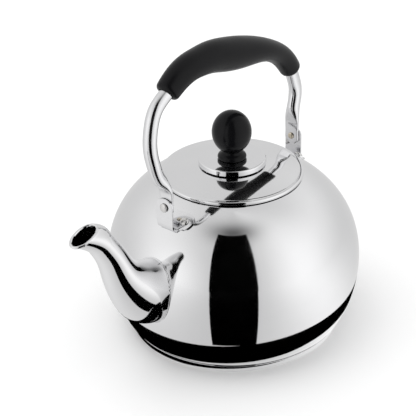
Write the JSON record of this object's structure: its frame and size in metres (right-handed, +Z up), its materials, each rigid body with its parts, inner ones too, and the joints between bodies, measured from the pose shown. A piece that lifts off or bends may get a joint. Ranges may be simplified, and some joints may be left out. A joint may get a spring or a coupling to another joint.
{
  "type": "stovetop whistling kettle",
  "caption": "Round polished steel stovetop kettle with an open swan-neck spout, a folding black-gripped bail handle and a lift-off lid with a ball knob over its whistle.",
  "frame": {"origin": "centre of the flat base, on the surface that the kettle stands on", "axes": "+Z up; the spout points along -X; the handle spans the XZ plane and folds down towards -Y or +Y"},
  "size_m": [0.301, 0.22, 0.2695],
  "materials": {
    "polished_steel": "mirror polished stainless steel",
    "rivet_steel": "satin stainless steel",
    "aluminium": "plain plate, hidden",
    "brass": "threaded insert, hidden",
    "bakelite": "black moulded heat-resistant plastic, semi-gloss"
  },
  "bodies": {
    "vessel": {"body_shell": "polished_steel", "spout": "polished_steel", "bottom_pan": "polished_steel", "heat_spreader": "aluminium", "base_cap": "polished_steel", "front_lug": "polished_steel", "rear_lug": "polished_steel", "front_lug_rivet_left": "rivet_steel", "front_lug_rivet_right": "rivet_steel", "rear_lug_rivet_left": "rivet_steel", "rear_lug_rivet_right": "rivet_steel", "front_pivot_rivet": "rivet_steel", "rear_pivot_rivet": "rivet_steel"},
    "handle": {"front_stem": "polished_steel", "rear_stem": "polished_steel", "grip": "bakelite", "grip_screw": "rivet_steel"},
    "lid": {"lid_shell": "polished_steel", "lid_collar": "polished_steel", "whistle_case": "polished_steel", "whistle_lower_plate": "polished_steel", "whistle_spacer": "polished_steel", "whistle_upper_plate": "polished_steel", "steam_cap": "polished_steel", "steam_cap_leg_1": "polished_steel", "steam_cap_leg_2": "polished_steel", "steam_cap_leg_3": "polished_steel", "knob": "bakelite", "knob_insert": "brass", "knob_screw": "rivet_steel"}
  },
  "joints": [
    {"name": "handle_fold", "type": "hinge", "parent": "vessel", "child": "handle", "pos_m": [0, 0, 0.145], "axis": [1, 0, 0], "range_deg": [-100, 100]},
    {"name": "lid_lift", "type": "slide", "parent": "vessel", "child": "lid", "axis": [0, 0, 1], "range_m": [0, 0.026]}
  ]
}
